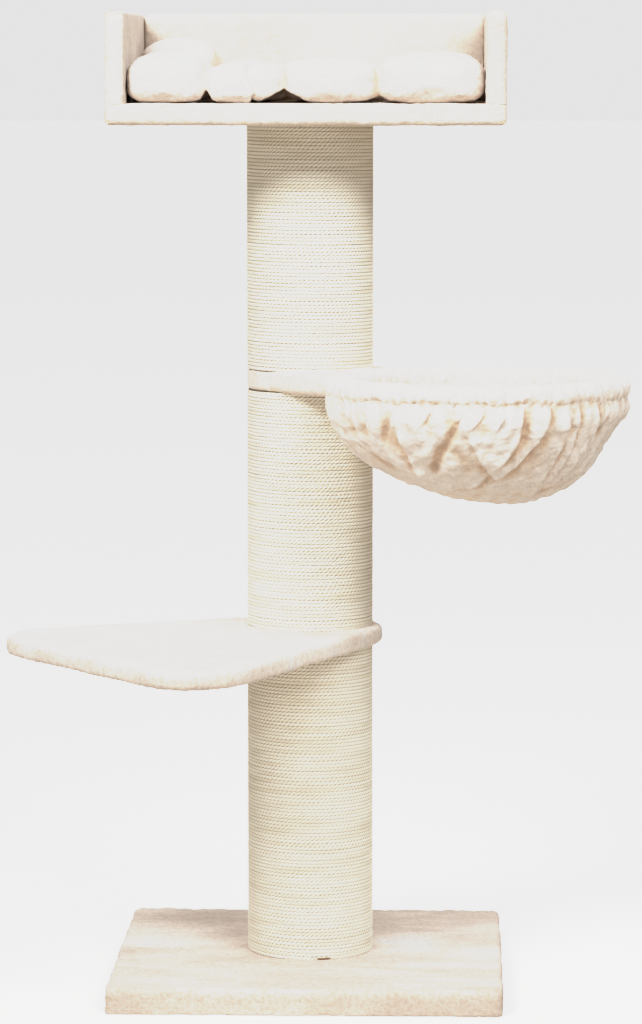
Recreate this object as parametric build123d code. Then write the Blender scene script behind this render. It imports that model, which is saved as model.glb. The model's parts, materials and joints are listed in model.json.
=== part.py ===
from build123d import *
import math
import os

# A cat tree for large cats: a square base, one thick sisal post in three lengths, a fan-shaped
# platform and a hammock clamped between them, and an open-fronted box with a cushion on top.
# Millimetres. The origin is on the post's axis at floor level, +Z is up and the box faces -Y.

# Driving dimensions
plush = 3                    # thickness of the plush skin on every board
post_radius = 100            # over the sisal
rope_thickness = 6
tube_wall = 8
disc_thickness = 20          # the wooden discs that close each cardboard tube
glue_gap = 0.2               # between a tube and what is glued in it or wound on it

base_side = 614
base_height = 42
base_tuck = 45               # width of the plush folded under the base
lower_post_length = 495
platform_height = 30
middle_post_length = 375
hammock_height = 33
upper_post_length = 386

apex_radius = 115            # the platform's rounded end, around the post
platform_corners = (         # distance from the post's axis, direction in degrees, corner radius
    (469, 250, 88),
    (405, 200, 90),
)

ring_offset = 336            # the post's axis to the hammock ring's axis
ring_direction = -38.5       # degrees from +X
ring_outer = 223
ring_inner = 191
neck_radius = 120            # width of the arm where it reaches the ring, as a radius
hem_side = 8                 # the bag's hem outside the ring
hem_top = 6
hem_inside = 4
hem_drop = 12                # how far the hem hangs below the hammock's plate
bag_depth = 151              # from the hem's lower edge to the bottom of the bag
bag_wall = 6
elastic_radius = 2

box_width = 613
box_depth = 442
floor_height = 33
wall_thickness = 31
wall_height = 140

cushion_height = 80
cushion_gap = 4              # between the cushion and the walls
cushion_rounding = 32
casing = 2.5                 # thickness of the cushion's cover

edge_rounding = 9            # on plush edges
stud_radius = 5              # M10
stud_head = (16, 6.4)        # across the flats, height
bolt_radius = 4              # M8
bolt_head = (13, 5.3)
bolt_circle = 60             # radius on which the three base bolts stand
hole_play = 0.5              # round a stud or bolt, in a board
fit_play = 0.1               # round a thread, in its insert or its hole
insert_depth = 18
insert_barrel = 2.5          # wall of a tee nut's barrel
insert_flange = 8            # how far its flange reaches past the thread
flange_thickness = 1.5
screw_radius = 2.2
screw_length = 60
screw_head = (4.5, 3.5)      # radius, height
staple_crown = (10, 1.2, 0.9)    # width, height, thickness
staple_direction = -85       # where each rope starts, in degrees from +X

# Levels
base_top = base_height
platform_bottom = base_top + lower_post_length
platform_top = platform_bottom + platform_height
hammock_bottom = platform_top + middle_post_length
hammock_top = hammock_bottom + hammock_height
box_bottom = hammock_top + upper_post_length
box_floor = box_bottom + floor_height
box_top = box_floor + wall_height

tube_outer = post_radius - rope_thickness
tube_inner = tube_outer - tube_wall
ring_x = ring_offset * math.cos(math.radians(ring_direction))
ring_y = ring_offset * math.sin(math.radians(ring_direction))
bolt_angles = (90, 210, 330)

UP = (Align.CENTER, Align.CENTER, Align.MIN)


def rod(radius, bottom, top, x=0, y=0):
    """An upright cylinder between two levels."""
    return Pos(x, y, bottom) * Cylinder(radius, top - bottom, align=UP)


def sleeve(outer, inner, bottom, top, x=0, y=0):
    return rod(outer, bottom, top, x, y) - rod(inner, bottom, top, x, y)


def slab(face, bottom, top):
    """A flat outline, made solid between two levels."""
    return Pos(0, 0, bottom) * extrude(face, top - bottom)


def soften(solid, radius, levels):
    """Rounds the edges that lie wholly on one of the levels."""
    def flat_on(edge, level):
        box = edge.bounding_box()
        return abs(box.min.Z - level) < 1e-4 and abs(box.max.Z - level) < 1e-4
    chosen = [e for e in solid.edges() if any(flat_on(e, z) for z in levels)]
    return fillet(chosen, radius)


def corner_edges(solid):
    return solid.edges().filter_by(Axis.Z)


def bolt_places():
    return [
        (bolt_circle * math.cos(math.radians(a)), bolt_circle * math.sin(math.radians(a)))
        for a in bolt_angles
    ]


def hex_bolt(radius, head, shank):
    """A hexagon bolt that points up, with the bearing face of its head at zero."""
    across_flats, height = head
    outline = RegularPolygon(across_flats / math.sqrt(3), 6)
    return Pos(0, 0, -height) * extrude(outline, height) + rod(radius, 0, shank)


def save(shape, name):
    export_step(shape, f"parts/{name}.step")


os.makedirs("parts", exist_ok=True)


# Base
underside_opening = base_side - 2 * base_tuck
washer_radius = 12
washer_thickness = 2
recess_radius = 15           # the wells that take the bolt heads
recess_top = plush + 10


def base():
    side = base_side - 2 * plush
    board = slab(Rectangle(side, side), plush, base_top - plush)
    board = fillet(corner_edges(board), edge_rounding)
    board = soften(board, edge_rounding - plush, [base_top - plush])
    cover = slab(Rectangle(base_side, base_side), 0, base_top)
    cover = fillet(corner_edges(cover), edge_rounding + plush)
    cover = soften(cover, edge_rounding, [base_top]) - board
    cover -= slab(Rectangle(underside_opening, underside_opening), 0, plush)
    underlay = slab(Rectangle(underside_opening, underside_opening), 0, plush)
    bolts = []
    washers = []
    head_seat = recess_top - washer_thickness
    shank = base_top + insert_depth - head_seat
    for x, y in bolt_places():
        way = rod(bolt_radius + hole_play, plush, base_top, x, y)
        board -= way + rod(recess_radius, plush, recess_top, x, y)
        cover -= way
        underlay -= rod(recess_radius, 0, plush, x, y)
        washers.append(sleeve(washer_radius, bolt_radius + fit_play, head_seat, recess_top, x, y))
        bolts.append(Pos(x, y, head_seat) * hex_bolt(bolt_radius, bolt_head, shank))
    save(board, "base_board")
    save(cover, "base_cover")
    save(underlay, "base_underlay")
    save(Compound(children=bolts), "base_bolts")
    save(Compound(children=washers), "base_washers")


# Posts
def threaded_insert(x, y, radius, face, inward):
    """A tee nut in an end disc: its barrel ends short of the disc's outer face, and its flange
    bears on the inner face. inward is +1 when the disc is at a tube's lower end."""
    bore = radius + fit_play
    barrel = sleeve(radius + insert_barrel, bore, disc_thickness - insert_depth, disc_thickness, x, y)
    flange = sleeve(radius + insert_flange, bore, disc_thickness, disc_thickness + flange_thickness, x, y)
    nut = barrel + flange
    if inward < 0:
        nut = mirror(nut, Plane.XY)
    return Pos(0, 0, face) * nut


def end_disc(face, inward, places, radius):
    """A disc glued into a tube's end, bored for its inserts."""
    low, high = sorted((face, face + inward * disc_thickness))
    disc = rod(tube_inner - glue_gap, low, high)
    for x, y in places:
        disc -= rod(radius + insert_barrel + fit_play, low, high, x, y)
    return disc


def rope_staple(level, direction):
    """The crown of a staple that holds a rope's end to the winding."""
    width, height, thickness = staple_crown
    low = level - height / 2
    ring = sleeve(post_radius + thickness, post_radius, low, low + height)
    keep = Rot(0, 0, direction) * Pos(post_radius, 0, level) * Box(2 * width, width, 2 * height)
    return ring & keep


def post(name, bottom, top, lower_places, lower_radius):
    inserts = []
    tube = sleeve(tube_outer, tube_inner, bottom, top)
    winding = sleeve(post_radius, tube_outer + glue_gap, bottom, top)
    save(tube, f"{name}_post_tube")
    save(winding, f"{name}_post_sisal")
    save(end_disc(bottom, 1, lower_places, lower_radius), f"{name}_post_bottom_disc")
    save(end_disc(top, -1, [(0, 0)], stud_radius), f"{name}_post_top_disc")
    for x, y in lower_places:
        inserts.append(threaded_insert(x, y, lower_radius, bottom, 1))
    inserts.append(threaded_insert(0, 0, stud_radius, top, -1))
    staples = [
        rope_staple(bottom + rope_thickness, staple_direction),
        rope_staple(top - rope_thickness, staple_direction + 180),
    ]
    return inserts, staples


def posts():
    inserts = []
    staples = []
    centre = [(0, 0)]
    for name, bottom, top, places, radius in (
        ("lower", base_top, platform_bottom, bolt_places(), bolt_radius),
        ("middle", platform_top, hammock_bottom, centre, stud_radius),
        ("upper", hammock_top, box_bottom, centre, stud_radius),
    ):
        more_inserts, more_staples = post(name, bottom, top, places, radius)
        inserts += more_inserts
        staples += more_staples
    save(Compound(children=inserts), "post_inserts")
    save(Compound(children=staples), "rope_staples")
    for name, low, high in (
        ("platform_stud", platform_bottom, platform_top),
        ("hammock_stud", hammock_bottom, hammock_top),
    ):
        save(rod(stud_radius, low - insert_depth, high + insert_depth), name)


# Platform
def fan(shrink):
    """The platform's outline: a belt round the post's end and the two far corners."""
    circles = Circle(apex_radius - shrink).edges()
    for distance, direction, radius in platform_corners:
        x = distance * math.cos(math.radians(direction))
        y = distance * math.sin(math.radians(direction))
        circles += (Pos(x, y) * Circle(radius - shrink)).edges()
    return make_hull(circles)


def platform():
    board_bottom = platform_bottom + plush
    board_top = platform_top - plush
    board = slab(fan(plush), board_bottom, board_top)
    board = soften(board, edge_rounding - plush, [board_bottom, board_top])
    cover = slab(fan(0), platform_bottom, platform_top)
    cover = soften(cover, edge_rounding, [platform_bottom, platform_top]) - board
    hole = rod(stud_radius + hole_play, platform_bottom, platform_top)
    save(board - hole, "platform_board")
    save(cover - hole, "platform_cover")


# Hammock
def arm(disc_radius, neck):
    """A belt round the post's disc and a smaller circle at the ring's centre."""
    return make_hull(Circle(disc_radius).edges() + (Pos(ring_x, ring_y) * Circle(neck)).edges())


def bag():
    """The bag's cross-section, turned about the ring's axis: a hem over the ring and a deep bowl."""
    hem_bottom = hammock_bottom - hem_drop
    board_top = hammock_top - plush
    outside = ring_outer + hem_side
    flap = ring_inner - hem_inside
    hem = (
        (outside, hem_bottom),
        (outside, board_top + hem_top),
        (flap, board_top + hem_top),
        (flap, hammock_bottom),
        (ring_inner, hammock_bottom),
        (ring_inner, board_top),
        (ring_outer, board_top),
        (ring_outer, hem_bottom),
    )
    with BuildPart() as turned:
        with BuildSketch(Plane.XZ):
            with BuildLine():
                EllipticalCenterArc((0, hem_bottom), outside, bag_depth, 270)
                Polyline(*hem)
                EllipticalCenterArc((0, hem_bottom), ring_outer, bag_depth - bag_wall, 270)
                Line((0, hem_bottom - bag_depth + bag_wall), (0, hem_bottom - bag_depth))
            make_face()
        revolve(axis=Axis.Z)
    return Pos(ring_x, ring_y, 0) * turned.part


def hammock():
    board_bottom = hammock_bottom + plush
    board_top = hammock_top - plush
    ring = Pos(ring_x, ring_y) * Circle(ring_outer)
    hole = Pos(ring_x, ring_y) * Circle(ring_inner)
    stud_hole = rod(stud_radius + hole_play, hammock_bottom, hammock_top)
    board = slab(arm(post_radius - plush, neck_radius) + ring - hole, board_bottom, board_top) - stud_hole
    cover = slab(arm(post_radius, neck_radius + plush), hammock_bottom, hammock_top)
    cover = soften(cover, edge_rounding, [hammock_bottom, hammock_top]) - board - stud_hole
    cover -= rod(ring_outer + hem_side + glue_gap, hammock_bottom, hammock_top, ring_x, ring_y)
    elastic_place = Pos(ring_x, ring_y, hammock_bottom - hem_drop / 2)
    hem_middle = ring_outer + hem_side / 2
    channel = elastic_place * Torus(hem_middle, elastic_radius + fit_play)
    save(board, "hammock_board")
    save(cover, "hammock_arm_cover")
    save(bag() - board - channel, "hammock_bag")
    save(elastic_place * Torus(hem_middle, elastic_radius), "hammock_elastic")


# Top box
well_radius = 22             # the well in the floor for the bolt's head
well_depth = 12
large_washer = (20, 2.5)     # radius, thickness


def covered_board(width, depth, bottom, top, x, y, rounded):
    """A board and its plush skin. rounded picks the skin's edges that are softened."""
    inner = Pos(x, y) * Rectangle(width - 2 * plush, depth - 2 * plush)
    board = slab(inner, bottom + plush, top - plush)
    cover = slab(Pos(x, y) * Rectangle(width, depth), bottom, top)
    cover = fillet(rounded(cover), edge_rounding) - board
    return board, cover


def outer_corners(solid):
    """The upright edges at the box's outer corners."""
    edges = corner_edges(solid)
    return [e for e in edges if abs(abs(e.center().X) - box_width / 2) < 0.1]


def floor_edges(solid):
    return outer_corners(solid) + list(solid.edges().group_by(Axis.Z)[0])


def wall_edges(solid):
    return outer_corners(solid) + list(solid.edges().group_by(Axis.Z)[-1])


def screw_places():
    side = box_width / 2 - wall_thickness / 2
    back = box_depth / 2 - wall_thickness / 2
    sides = [(s * side, y) for s in (-1, 1) for y in (-170, -50, 70, 180)]
    return sides + [(x, back) for x in (-180, 0, 180)]


def screw(x, y, play):
    """A screw driven up through the floor into a wall, or its hole when there is some play."""
    radius, height = screw_head
    bottom = box_bottom + plush
    head = rod(radius + play, bottom, bottom + height, x, y)
    return head + rod(screw_radius + play, bottom, bottom + screw_length, x, y)


def top_box():
    side_x = (box_width - wall_thickness) / 2
    back_y = (box_depth - wall_thickness) / 2
    back_width = box_width - 2 * wall_thickness
    pieces = {
        "floor": covered_board(box_width, box_depth, box_bottom, box_floor, 0, 0, floor_edges),
        "left_wall": covered_board(wall_thickness, box_depth, box_floor, box_top, -side_x, 0, wall_edges),
        "right_wall": covered_board(wall_thickness, box_depth, box_floor, box_top, side_x, 0, wall_edges),
        "back_wall": covered_board(back_width, wall_thickness, box_floor, box_top, 0, back_y, wall_edges),
    }
    screws = [screw(x, y, 0) for x, y in screw_places()]
    screw_ways = [screw(x, y, fit_play) for x, y in screw_places()]
    screw_ways += [rod(screw_head[0] + fit_play, box_bottom, box_bottom + plush, x, y)
                   for x, y in screw_places()]
    well_floor = box_floor - plush - well_depth
    bolt_ways = [
        rod(stud_radius + hole_play, box_bottom, box_floor),
        rod(well_radius, well_floor, box_floor),
    ]
    for name, (board, cover) in pieces.items():
        ways = screw_ways + bolt_ways if name == "floor" else screw_ways
        save(board - ways, f"box_{name}_board")
        save(cover - ways, f"box_{name}_cover")
    save(Compound(children=screws), "box_screws")

    head_seat = well_floor + large_washer[1]
    shank = head_seat - box_bottom + insert_depth
    bolt = Pos(0, 0, head_seat) * (Rot(180, 0, 0) * hex_bolt(stud_radius, stud_head, shank))
    save(bolt, "box_bolt")
    save(sleeve(large_washer[0], stud_radius + fit_play, well_floor, head_seat), "box_washer")


def cushion():
    bottom = box_floor + 0.3
    width = box_width - 2 * wall_thickness - 2 * cushion_gap
    depth = box_depth - wall_thickness - 2 * cushion_gap
    middle = Pos(0, -wall_thickness / 2, bottom + cushion_height / 2)
    outer = Box(width, depth, cushion_height)
    outer = fillet(outer.edges(), cushion_rounding)
    filling = Box(width - 2 * casing, depth - 2 * casing, cushion_height - 2 * casing)
    filling = fillet(filling.edges(), cushion_rounding - casing)
    save(middle * (outer - filling), "cushion_cover")
    save(middle * filling, "cushion_filling")


base()
posts()
platform()
hammock()
top_box()
cushion()
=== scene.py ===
import json
import math

import bmesh
import bpy
import numpy as np
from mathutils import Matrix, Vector


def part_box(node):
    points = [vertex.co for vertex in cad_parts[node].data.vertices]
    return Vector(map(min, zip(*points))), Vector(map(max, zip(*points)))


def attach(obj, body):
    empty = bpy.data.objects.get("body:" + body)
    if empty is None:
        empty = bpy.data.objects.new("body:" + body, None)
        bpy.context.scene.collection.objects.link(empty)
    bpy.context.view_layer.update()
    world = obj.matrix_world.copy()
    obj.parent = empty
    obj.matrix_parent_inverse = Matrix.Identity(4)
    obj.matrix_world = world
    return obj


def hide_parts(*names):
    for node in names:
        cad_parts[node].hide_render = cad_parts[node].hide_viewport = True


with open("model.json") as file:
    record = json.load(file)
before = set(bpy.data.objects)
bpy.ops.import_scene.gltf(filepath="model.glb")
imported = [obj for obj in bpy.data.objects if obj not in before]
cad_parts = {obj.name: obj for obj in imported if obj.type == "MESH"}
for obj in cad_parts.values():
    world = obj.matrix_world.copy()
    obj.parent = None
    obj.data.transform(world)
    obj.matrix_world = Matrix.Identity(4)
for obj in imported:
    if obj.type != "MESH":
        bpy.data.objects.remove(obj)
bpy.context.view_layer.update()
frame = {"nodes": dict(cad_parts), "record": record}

nodes = frame["nodes"]
TURN = 2 * math.pi


# ---------------------------------------------------------------- camera, floor and light

def make_camera():
    """A long lens at standing eye height, looking slightly down, a little to the right of the front."""
    distance = 6.58
    eye_height = 1.465
    azimuth = math.radians(2)
    aside = math.radians(0.15)
    down = math.radians(6.24)
    data = bpy.data.cameras.new("camera")
    data.sensor_width = 36
    data.lens = 146.4
    data.clip_end = 120
    camera = bpy.data.objects.new("camera", data)
    camera.location = (distance * math.sin(azimuth), -distance * math.cos(azimuth), eye_height)
    camera.rotation_euler = (math.pi / 2 - down, 0, azimuth - aside)
    bpy.context.scene.collection.objects.link(camera)
    bpy.context.scene.camera = camera


def make_floor():
    """A wide pale floor, seen bright as on a light table, that throws back only a little light."""
    material, shader, tree, place = new_material("studio_floor")
    length = add(tree, "VectorMath", operation="LENGTH")
    tree.links.new(place, length.inputs[0])
    far = calculate(tree, "MULTIPLY", length.outputs["Value"], 0.05)
    # Painted light: the floor glows, most near the middle, and both its glow and its colour fade further out.
    tone = ramp(tree, far, greys((0.0, 0.93), (0.2, 0.86), (1, 0.76)))
    glow = ramp(tree, far, greys((0.0, 1), (0.12, 0.80), (0.5, 0.50), (1, 0.36)))
    tree.links.new(tone, shader.inputs["Base Color"])
    tree.links.new(glow, shader.inputs["Emission Color"])
    shader.inputs["Emission Strength"].default_value = 1.36
    shader.inputs["Roughness"].default_value = 1
    shader.inputs["Specular IOR Level"].default_value = 0
    dull = add(tree, "BsdfDiffuse", Color=(0.54, 0.49, 0.43, 1))
    show(tree, shader, dull, tree.nodes["Material Output"])
    angle = np.linspace(0, TURN, 96, endpoint=False)
    rim = np.stack([90 * np.cos(angle), 90 * np.sin(angle), 0 * angle], 1)
    mesh = bpy.data.meshes.new("floor")
    mesh.from_pydata(rim.tolist(), [], [list(range(len(rim)))])
    mesh.materials.append(material)
    floor = bpy.data.objects.new("floor", mesh)
    bpy.context.scene.collection.objects.link(floor)


def set_film():
    """A bright exposure, as in a catalogue picture: what is lit fully goes to a soft white."""
    view = bpy.context.scene.view_settings
    view.view_transform = "Standard"
    view.use_curve_mapping = True
    mapping = view.curve_mapping
    mapping.clip_max_x = 3
    mapping.clip_max_y = 3
    for single in mapping.curves[:3]:
        single.points[1].location = (3, 3)
    curve = mapping.curves[3]
    curve.points[0].location = (0, 0)
    curve.points[1].location = (3, 0.92)
    for light, shown in ((0.35, 0.35), (0.66, 0.65), (0.80, 0.75), (0.95, 0.785), (1.3, 0.812),
                         (1.9, 0.835), (2.4, 0.865)):
        curve.points.new(light, shown)
    for point in curve.points:
        point.handle_type = "AUTO_CLAMPED"
    mapping.update()


def show(tree, seen, given, out):
    """Camera rays meet the shader seen, and every other ray meets the shader given."""
    either = add(tree, "MixShader")
    tree.links.new(add(tree, "LightPath").outputs["Is Camera Ray"], either.inputs["Fac"])
    tree.links.new(given.outputs[0], either.inputs[1])
    tree.links.new(seen.outputs[0], either.inputs[2])
    tree.links.new(either.outputs["Shader"], out.inputs["Surface"])


def make_light():
    scene = bpy.context.scene
    world = bpy.data.worlds.new("studio")
    scene.world = world
    world.use_nodes = True
    tree = world.node_tree
    tree.nodes.clear()
    seen = add(tree, "Background", Color=(0.90, 0.90, 0.90, 1))
    given = add(tree, "Background", Color=(1.0, 0.985, 0.965, 1), Strength=0.38)
    show(tree, seen, given, add(tree, "OutputWorld"))

    for name, tilt, turn, energy, spread in (("key", 50, -30, 1.25, 20), ("fill", 54, 36, 1.0, 22)):
        sun = bpy.data.lights.new(name, "SUN")
        sun.energy = energy
        sun.angle = math.radians(spread)
        lamp = bpy.data.objects.new(name, sun)
        lamp.rotation_euler = (math.radians(tilt), 0, math.radians(turn))
        scene.collection.objects.link(lamp)

    for name, place, target, size, power, spread in (
        ("left_softbox", (-1.2, -1.9, 2.8), (0, 0, 1.0), 0.9, 55, 180),
        ("right_softbox", (0.9, -1.9, 2.8), (0, 0, 1.0), 0.9, 35, 180),
        ("low_softbox", (-0.3, -2.3, 0.8), (0, 0, 0.30), 0.8, 1.05, 36),
        ("high_softbox", (-0.7, -2.4, 1.0), (0, 0, 1.30), 0.6, 0.12, 24),
        ("back_softbox", (0.4, 2.6, 3.4), (0, 0, 1.1), 3.0, 62, 180),
    ):
        area = bpy.data.lights.new(name, "AREA")
        area.shape = "DISK"
        area.size = size
        area.energy = power
        area.spread = math.radians(spread)
        lamp = bpy.data.objects.new(name, area)
        lamp.location = place
        aim = Vector(target) - Vector(place)
        lamp.rotation_euler = aim.to_track_quat("-Z", "Y").to_euler()
        scene.collection.objects.link(lamp)


# ---------------------------------------------------------------- shapes

def ripple(points, size, seed, waves=16):
    """A smooth, repeatable unevenness, mostly between -1 and 1, with swells about as wide as size."""
    chance = np.random.default_rng(seed)
    total = np.zeros(len(points))
    for _ in range(waves):
        direction = chance.normal(size=points.shape[1])
        direction /= np.linalg.norm(direction)
        length = size * chance.uniform(1.2, 2.6)
        total += np.sin(points @ direction * (TURN / length) + chance.uniform(0, TURN))
    return total / math.sqrt(waves)


def grid(rows, columns, closed=True):
    """Quads over rows of points; closed joins each row's last point to its first."""
    row = np.arange(rows - 1)[:, None]
    column = np.arange(columns if closed else columns - 1)[None, :]
    here = row * columns + column
    beside = row * columns + (column + 1) % columns
    return np.stack([here, beside, beside + columns, here + columns], -1).reshape(-1, 4)


def mesh_of(name, points, faces, material):
    mesh = bpy.data.meshes.new(name)
    mesh.vertices.add(len(points))
    mesh.vertices.foreach_set("co", np.asarray(points, np.float32).ravel())
    mesh.loops.add(faces.size)
    mesh.loops.foreach_set("vertex_index", faces.astype(np.int32).ravel())
    mesh.polygons.add(len(faces))
    mesh.polygons.foreach_set("loop_start", np.arange(0, faces.size, faces.shape[1], dtype=np.int32))
    mesh.update(calc_edges=True)
    mesh.validate()
    mesh.shade_smooth()
    mesh.materials.append(material)
    return mesh


def piece(name, points, faces, material, body, replaced):
    made = bpy.data.objects.new(name, mesh_of(name, points, faces, material))
    bpy.context.scene.collection.objects.link(made)
    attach(made, body)
    if replaced:
        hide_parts(*replaced)
    return made


def spaced(outline, step):
    """The same closed outline with points evenly spaced, about step apart."""
    closed = np.vstack([outline, outline[:1]])
    run = np.concatenate([[0], np.cumsum(np.linalg.norm(np.diff(closed, axis=0), axis=1))])
    places = np.linspace(0, run[-1], round(run[-1] / step), endpoint=False)
    return np.stack([np.interp(places, run, closed[:, k]) for k in range(2)], 1)


def rim_of(points, step):
    """The evenly spaced outline, seen from above, of a convex cloud of points."""
    angle = np.linspace(0, TURN, 720, endpoint=False)
    sides = np.stack([np.cos(angle), np.sin(angle)])
    furthest = (points[:, :2] @ sides).argmax(0)
    corners = points[furthest, :2]
    moved = np.linalg.norm(corners - np.roll(corners, 1, 0), axis=1) > 1e-5
    return spaced(corners[moved], step)


def belt(circles, step):
    """The outline of a belt round several circles, each (x, y, radius)."""
    angle = np.linspace(0, TURN, 720, endpoint=False)
    points = [np.stack([x + r * np.cos(angle), y + r * np.sin(angle)], 1) for x, y, r in circles]
    return rim_of(np.vstack(points), step)


def outward(outline):
    along = np.roll(outline, -1, 0) - np.roll(outline, 1, 0)
    along /= np.linalg.norm(along, axis=1)[:, None]
    return np.stack([along[:, 1], -along[:, 0]], 1)


def slab_rows(outline, low, high, low_radius, high_radius, step):
    """Rows of points from the middle of a slab's underside, over its rounded edges, to its top's middle."""
    normal = outward(outline)
    middle = outline.mean(0)
    reach = np.linalg.norm(outline - middle, axis=1).min()
    rings = max(4, round(reach / step))
    shares = np.linspace(0.01, 1, rings)
    rows = []

    def cap(inset, level, order):
        edge = outline - normal * inset
        for share in order:
            flat = middle + (edge - middle) * share
            rows.append(np.column_stack([flat, np.full(len(flat), level)]))

    cap(low_radius, low, shares)
    bend = np.linspace(0, math.pi / 2, 7)[1:]
    for a in bend:
        flat = outline - normal * low_radius * (1 - math.sin(a))
        rows.append(np.column_stack([flat, np.full(len(flat), low + low_radius * (1 - math.cos(a)))]))
    side = high - high_radius - low - low_radius
    for share in np.linspace(0, 1, max(2, round(side / step)) + 1)[1:-1]:
        level = low + low_radius + side * share
        rows.append(np.column_stack([outline, np.full(len(outline), level)]))
    for a in bend:
        flat = outline - normal * high_radius * (1 - math.cos(a))
        level = high - high_radius * (1 - math.sin(a))
        rows.append(np.column_stack([flat, np.full(len(flat), level)]))
    cap(high_radius, high, shares[::-1][1:])
    return rows


def vertex_normals(mesh):
    normals = np.empty(len(mesh.vertices) * 3, np.float32)
    mesh.vertex_normals.foreach_get("vector", normals)
    return normals.reshape(-1, 3).astype(float)


def mesh_points(mesh):
    points = np.empty(len(mesh.vertices) * 3, np.float32)
    mesh.vertices.foreach_get("co", points)
    return points.reshape(-1, 3).astype(float)


def move_points(mesh, points):
    mesh.vertices.foreach_set("co", points.astype(np.float32).ravel())
    mesh.update()


def nap(made, swell, tuft, seed):
    """Gives a plush skin its uneven surface: a slow swell over the board and small tufts of pile."""
    mesh = made.data
    points = mesh_points(mesh)
    rise = swell * ripple(points, 0.05, seed) + tuft * ripple(points, 0.009, seed + 1)
    rise += 0.6 * tuft * ripple(points, 0.005, seed + 2)
    move_points(mesh, points + vertex_normals(mesh) * rise[:, None])


# ---------------------------------------------------------------- materials

def new_material(name):
    """A material, its shader, its node tree, and the output that gives the place on the object."""
    material = bpy.data.materials.new(name)
    material.use_nodes = True
    tree = material.node_tree
    return material, tree.nodes["Principled BSDF"], tree, add(tree, "TexCoord").outputs["Object"]


def add(tree, kind, **values):
    node = tree.nodes.new("ShaderNode" + kind)
    for key, value in values.items():
        if hasattr(node, key):
            setattr(node, key, value)
        else:
            node.inputs[key.replace("_", " ")].default_value = value
    return node


def ramp(tree, source, stops):
    node = add(tree, "ValToRGB")
    first, last = node.color_ramp.elements
    first.position, first.color = stops[0][0], (*stops[0][1], 1)
    last.position, last.color = stops[-1][0], (*stops[-1][1], 1)
    for place, colour in stops[1:-1]:
        node.color_ramp.elements.new(place).color = (*colour, 1)
    tree.links.new(source, node.inputs["Fac"])
    return node.outputs["Color"]


def greys(*stops):
    """Ramp stops for plain greys, from pairs of place and brightness."""
    return [(place, (level, level, level)) for place, level in stops]


def noise(tree, vector, scale, detail=3.0, roughness=0.55):
    node = add(tree, "TexNoise", Scale=scale, Detail=detail, Roughness=roughness)
    tree.links.new(vector, node.inputs["Vector"])
    return node.outputs["Fac"]


def stretched(tree, vector, scale):
    node = add(tree, "Mapping", Scale=scale)
    tree.links.new(vector, node.inputs["Vector"])
    return node.outputs["Vector"]


def calculate(tree, operation, value, other=0.0):
    node = add(tree, "Math", operation=operation)
    tree.links.new(value, node.inputs[0])
    node.inputs[1].default_value = other
    return node.outputs["Value"]


def blend_colours(tree, kind, share, first, second):
    node = add(tree, "Mix", data_type="RGBA", blend_type=kind, Factor=share)
    tree.links.new(first, node.inputs["A"])
    tree.links.new(second, node.inputs["B"])
    return node.outputs["Result"]


def bump(tree, shader, heights):
    """Chains several heights, each (value, distance), into the shader's normal."""
    normal = None
    for value, distance in heights:
        node = add(tree, "Bump", Strength=1.0, Distance=distance)
        tree.links.new(value, node.inputs["Height"])
        if normal is not None:
            tree.links.new(normal, node.inputs["Normal"])
        normal = node.outputs["Normal"]
    tree.links.new(normal, shader.inputs["Normal"])


def plush_material(name, light, dark, brushed=(1, 1, 1), clouds_at=9, crease=0.0, lies=False, coarse=0.6):
    """Short dense pile: clouds where the nap lies another way, clumps of pile, and a soft sheen.
    Where a piece has folds, crease paints shade down in them, as its fold attribute says.
    With lies, an attribute stored on the piece makes its colour lighter or darker by place: painted shade and
    painted light, and on the base also some paler and darker patches. Coarse is how strongly the clumps of
    pile show."""
    material, shader, tree, place = new_material(name)
    clouds = noise(tree, stretched(tree, place, brushed), clouds_at, 5, 0.62)
    if lies:
        both = add(tree, "Math", operation="ADD")
        tree.links.new(clouds, both.inputs[0])
        tree.links.new(add(tree, "Attribute", attribute_name="painted_shading_and_patches").outputs["Fac"], both.inputs[1])
        clouds = both.outputs["Value"]
    clumps = noise(tree, place, 150, 3, 0.6)
    pile = noise(tree, place, 560, 2, 0.6)
    stops = [(0.36, dark), (0.50, tuple((a + b) / 2 for a, b in zip(light, dark))), (0.62, light)]
    # Painted shade and painted light: with lies, the ramp reaches a darker shade and a paler grey.
    if lies:
        stops = [(0.10, tuple(0.74 * share for share in dark))] + stops + [(0.86, (0.82, 0.80, 0.78))]
    base = ramp(tree, clouds, stops)
    grey = ramp(tree, clumps, [(0.32, (0.80, 0.76, 0.71)), (0.60, (1, 1, 1))])
    mottled = blend_colours(tree, "MULTIPLY", coarse, base, grey)
    fibre = ramp(tree, pile, [(0.34, (0.78, 0.75, 0.71)), (0.58, (1, 1, 1))])
    finished = blend_colours(tree, "MULTIPLY", 0.5, mottled, fibre)
    # Painted shade in the creases, through the fold attribute.
    if crease:
        fold = add(tree, "Attribute", attribute_name="fold").outputs["Fac"]
        shade = ramp(tree, fold, [(0.0, (0.80, 0.68, 0.56)), (0.30, (0.94, 0.88, 0.81)), (0.52, (1, 1, 1))])
        finished = blend_colours(tree, "MULTIPLY", crease, finished, shade)
    tree.links.new(finished, shader.inputs["Base Color"])
    shader.inputs["Roughness"].default_value = 0.92
    shader.inputs["Specular IOR Level"].default_value = 0.15
    shader.inputs["Sheen Weight"].default_value = 0.3
    shader.inputs["Sheen Roughness"].default_value = 0.45
    shader.inputs["Sheen Tint"].default_value = (1, 0.97, 0.93, 1)
    bump(tree, shader, [(clumps, 0.0022), (pile, 0.0014)])
    return material


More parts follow.
